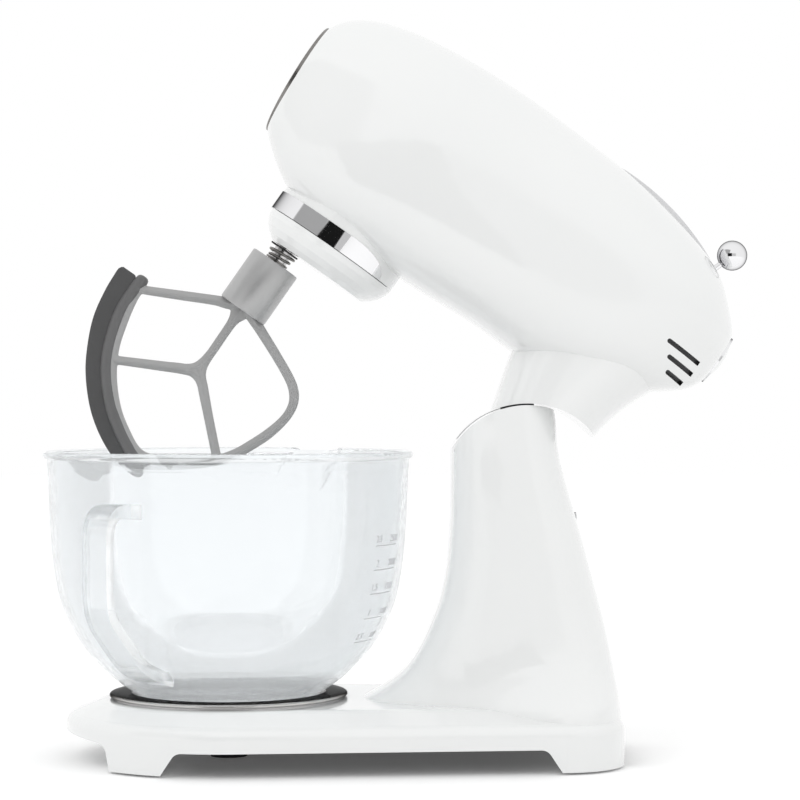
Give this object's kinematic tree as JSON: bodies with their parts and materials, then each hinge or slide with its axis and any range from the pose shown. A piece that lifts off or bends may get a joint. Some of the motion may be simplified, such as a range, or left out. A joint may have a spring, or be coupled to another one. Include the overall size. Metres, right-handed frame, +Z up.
{
  "type": "stand mixer",
  "caption": "Tilt-head stand mixer, head raised, with a clear glass bowl on a locking seat, a flat beater with a flexible edge, planetary drive, motor, speed lever and capped accessory hub.",
  "frame": {"origin": "on the worktop under the bowl's axis, in the middle of the centre foot's underside, on the mixer's middle plane", "axes": "+Z up, -X towards the mixer's front, +X towards the pedestal at its rear, +Y across to the right when seen from the front"},
  "size_m": [0.4564, 0.2598, 0.4771],
  "materials": {
    "white_enamel": "glossy white enamel",
    "chrome": "polished chrome plate",
    "steel": "turned or stamped steel",
    "ring_steel": "brushed stainless steel",
    "gear_steel": "machined gear steel",
    "cast_iron": "as cast, machined seats",
    "aluminium": "die cast, machined",
    "beater_grey": "grey coated casting",
    "soft_grey": "soft matt grey",
    "black_rubber": "moulded black rubber",
    "black_plastic": "moulded black, fine grain",
    "white_plastic": "moulded white",
    "glass": "clear pressed glass",
    "copper": "varnished copper wire",
    "brass": "turned brass",
    "bronze": "sintered bronze",
    "laminate": "stacked steel sheets",
    "carbon": "pressed carbon",
    "board": "green circuit board"
  },
  "bodies": {
    "stand": {"base_casting": "white_enamel", "base_cover": "black_plastic", "rubber_feet": "black_rubber", "foot_screws": "steel", "hinge_pin": "steel", "bowl_seat": "ring_steel", "seat_screws": "steel", "lock_spring": "steel", "cord_grommet": "black_rubber"},
    "lock": {"lock_button": "chrome"},
    "head": {"head_shell": "white_enamel", "neck_casting": "white_enamel", "nose_ring": "chrome", "hub_socket": "aluminium", "rear_ring": "chrome", "rear_cap": "white_enamel", "vent_grilles": "black_plastic", "speed_strip": "chrome", "speed_sensor": "black_plastic", "control_board": "board", "hinge_tongue": "cast_iron", "tongue_bolts": "steel", "slot_shield": "black_plastic", "hinge_bushes": "bronze", "chrome_band": "chrome", "ring_gear": "gear_steel", "gear_case": "aluminium", "gear_case_screws": "steel", "main_bearings": "steel", "motor_stator": "laminate", "field_coils": "copper", "motor_brackets": "aluminium", "motor_bearings": "steel", "motor_bolts": "steel", "motor_brushes": "carbon", "accessory_bearing": "steel"},
    "cap": {"hub_cap": "white_enamel"},
    "lever": {"lever_stem": "chrome", "lever_ball": "chrome", "lever_carriage": "black_plastic"},
    "planetary": {"planetary_dish": "white_enamel", "main_shaft": "gear_steel", "crown_gear": "gear_steel", "shaft_bushes": "bronze"},
    "beater_drive": {"beater_shaft": "ring_steel", "planet_gear": "gear_steel", "drive_pin": "steel", "shaft_washer": "soft_grey", "shaft_spring": "steel"},
    "beater": {"beater_frame": "beater_grey", "beater_wiper": "soft_grey"},
    "rotor": {"rotor_shaft": "gear_steel", "rotor_core": "laminate", "rotor_windings": "copper", "commutator": "brass", "motor_fan": "black_plastic"},
    "accessory_drive": {"accessory_shaft": "gear_steel"},
    "bowl": {"bowl_glass": "glass", "bowl_handle": "glass", "bowl_ring": "ring_steel"}
  },
  "joints": [
    {"name": "head_tilt", "type": "hinge", "parent": "stand", "child": "head", "pos_m": [0.1918, 0, 0.1732], "axis": [0, 1, 0], "range_deg": [-35, 0]},
    {"name": "lock_press", "type": "slide", "parent": "stand", "child": "lock", "axis": [-1, 0, 0], "range_m": [0, 0.004], "stiffness_N_per_m": 800, "springref_m": -0.004, "deforming": ["lock_spring"]},
    {"name": "hub_cap_hinge", "type": "hinge", "parent": "head", "child": "cap", "pos_m": [0.06315, 0, 0.46709], "axis": [0, 1, 0], "range_deg": [0, 100]},
    {"name": "lever_slide", "type": "hinge", "parent": "head", "child": "lever", "pos_m": [0.1648, 0, 0.23715], "axis": [0, -1, 0], "range_deg": [0, 28]},
    {"name": "planetary_spin", "type": "hinge", "parent": "head", "child": "planetary", "pos_m": [0.11143, 0, 0.39281], "axis": [0.5736, 0, 0.8192], "continuous": true},
    {"name": "beater_spin", "type": "hinge", "parent": "planetary", "child": "beater_drive", "pos_m": [0.03671, 0, 0.32916], "axis": [0.5736, 0, 0.8192], "continuous": true},
    {"name": "beater_press", "type": "slide", "parent": "beater_drive", "child": "beater", "axis": [0.5736, 0, 0.8192], "range_m": [0, 0.003], "stiffness_N_per_m": 1500, "springref_m": -0.004, "deforming": ["shaft_spring"]},
    {"name": "rotor_spin", "type": "hinge", "parent": "head", "child": "rotor", "pos_m": [0.11143, 0, 0.39281], "axis": [0.8192, 0, -0.5736], "continuous": true},
    {"name": "accessory_spin", "type": "hinge", "parent": "head", "child": "accessory_drive", "pos_m": [0.11143, 0, 0.39281], "axis": [-0.8192, 0, 0.5736], "continuous": true},
    {"name": "bowl_twist", "type": "hinge", "parent": "stand", "child": "bowl", "pos_m": [0, 0, 0.025], "axis": [0, 0, 1], "range_deg": [0, 30]}
  ],
  "couplings": [
    {"joint": "beater_spin", "follows": "planetary_spin", "ratio": -3.5},
    {"joint": "rotor_spin", "follows": "planetary_spin", "ratio": 4},
    {"joint": "accessory_spin", "follows": "planetary_spin", "ratio": 4}
  ]
}
